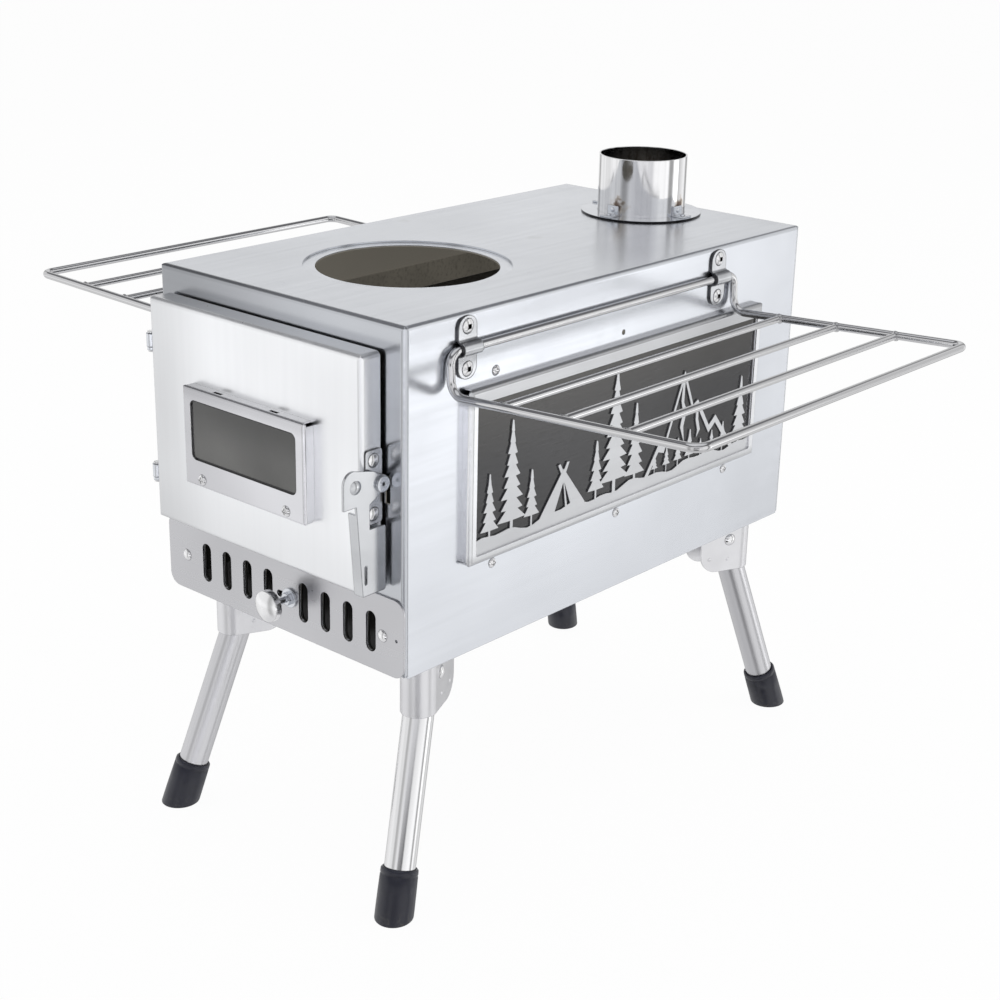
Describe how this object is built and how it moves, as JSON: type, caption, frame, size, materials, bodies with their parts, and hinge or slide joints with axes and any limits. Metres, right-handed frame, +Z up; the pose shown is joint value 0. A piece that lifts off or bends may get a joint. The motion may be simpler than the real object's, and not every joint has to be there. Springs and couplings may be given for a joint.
{
  "type": "tent wood stove",
  "caption": "Folding wood stove of satin stainless sheet with a latched glazed front door, air slider, side windows, wire shelves, cooking hole and flue collar.",
  "frame": {"origin": "on the floor, under the middle of the whole footprint", "axes": "+Z up, +X towards the latch side of the stove, -Y towards the front with the door, +Y towards the flue"},
  "size_m": [0.546, 0.4328, 0.3985],
  "materials": {
    "satin_steel": "satin stainless sheet",
    "vent_steel": "satin stainless sheet",
    "door_steel": "satin stainless sheet",
    "frame_steel": "satin stainless sheet",
    "cutout_steel": "matt stainless sheet, cut through",
    "polished_steel": "polished stainless tube",
    "wire_steel": "bright stainless wire",
    "bracket_steel": "satin stainless sheet",
    "fitting_steel": "bright stainless",
    "fastener_steel": "bright stainless",
    "dark_steel": "dull stainless sheet",
    "heat_glass": "smoked heat-proof glass",
    "rope_gasket": "glass-fibre gasket",
    "foot_rubber": "matt black rubber"
  },
  "bodies": {
    "stove_body": {"body_shell": "satin_steel", "front_pan": "satin_steel", "rear_pan": "satin_steel", "base_pan": "satin_steel", "cook_ring": "satin_steel", "flue_ring": "satin_steel", "vent_plate": "vent_steel", "right_window_frame": "frame_steel", "left_window_frame": "frame_steel", "right_silhouette": "cutout_steel", "left_silhouette": "cutout_steel", "flue_collar": "polished_steel", "front_right_bracket": "bracket_steel", "front_left_bracket": "bracket_steel", "rear_right_bracket": "bracket_steel", "rear_left_bracket": "bracket_steel", "flue_tabs": "fitting_steel", "hinge_lugs": "fitting_steel", "right_saddles": "fitting_steel", "left_saddles": "fitting_steel", "vent_rivets": "fastener_steel", "hinge_pins": "fastener_steel", "window_screws": "fastener_steel", "saddle_rivets": "fastener_steel", "leg_pivots": "fastener_steel", "smoke_baffle": "dark_steel", "fire_grate": "dark_steel", "slider_rails": "dark_steel", "window_retainers": "dark_steel", "right_glass": "heat_glass", "left_glass": "heat_glass", "window_gaskets": "rope_gasket"},
    "door": {"door_pan": "door_steel", "door_liner": "dark_steel", "door_gasket": "rope_gasket", "door_glass": "heat_glass", "door_glass_gasket": "rope_gasket", "door_cover": "door_steel", "door_screws": "fastener_steel", "door_barrels": "fitting_steel", "latch_plate": "fitting_steel", "latch_rivets": "fastener_steel", "latch_pivot": "fitting_steel"},
    "latch": {"latch_lever": "fitting_steel"},
    "air_control": {"air_slider": "vent_steel", "air_stud": "fitting_steel", "air_knob": "fitting_steel"},
    "right_shelf": {"right_shelf_frame": "wire_steel", "right_shelf_bars": "wire_steel"},
    "left_shelf": {"left_shelf_frame": "wire_steel", "left_shelf_bars": "wire_steel"},
    "front_right_leg": {"front_right_tube": "polished_steel", "front_right_cap": "foot_rubber"},
    "front_left_leg": {"front_left_tube": "polished_steel", "front_left_cap": "foot_rubber"},
    "rear_right_leg": {"rear_right_tube": "polished_steel", "rear_right_cap": "foot_rubber"},
    "rear_left_leg": {"rear_left_tube": "polished_steel", "rear_left_cap": "foot_rubber"}
  },
  "joints": [
    {"name": "door_hinge", "type": "hinge", "parent": "stove_body", "child": "door", "pos_m": [-0.0955, -0.1965, 0.275], "axis": [0, 0, -1], "range_deg": [0, 150]},
    {"name": "latch_pivot_joint", "type": "hinge", "parent": "door", "child": "latch", "pos_m": [0.0889, -0.1883, 0.2705], "axis": [-1, 0, 0], "range_deg": [0, 60]},
    {"name": "air_slide", "type": "slide", "parent": "stove_body", "child": "air_control", "axis": [1, 0, 0], "range_m": [-0.0094, 0]},
    {"name": "right_shelf_hinge", "type": "hinge", "parent": "stove_body", "child": "right_shelf", "pos_m": [0.10468, -0.01825, 0.3393], "axis": [0, -1, 0], "range_deg": [0, 125]},
    {"name": "left_shelf_hinge", "type": "hinge", "parent": "stove_body", "child": "left_shelf", "pos_m": [-0.10468, -0.01825, 0.3393], "axis": [0, 1, 0], "range_deg": [0, 125]},
    {"name": "front_right_leg_hinge", "type": "hinge", "parent": "stove_body", "child": "front_right_leg", "pos_m": [0.0791, -0.1433, 0.14], "axis": [0.9135, 0.4067, 0], "range_deg": [0, 108]},
    {"name": "front_left_leg_hinge", "type": "hinge", "parent": "stove_body", "child": "front_left_leg", "pos_m": [-0.0791, -0.1433, 0.14], "axis": [0.9135, -0.4067, 0], "range_deg": [0, 108]},
    {"name": "rear_right_leg_hinge", "type": "hinge", "parent": "stove_body", "child": "rear_right_leg", "pos_m": [0.0791, 0.1588, 0.14], "axis": [-0.9135, 0.4067, 0], "range_deg": [0, 108]},
    {"name": "rear_left_leg_hinge", "type": "hinge", "parent": "stove_body", "child": "rear_left_leg", "pos_m": [-0.0791, 0.1588, 0.14], "axis": [-0.9135, -0.4067, 0], "range_deg": [0, 108]}
  ]
}
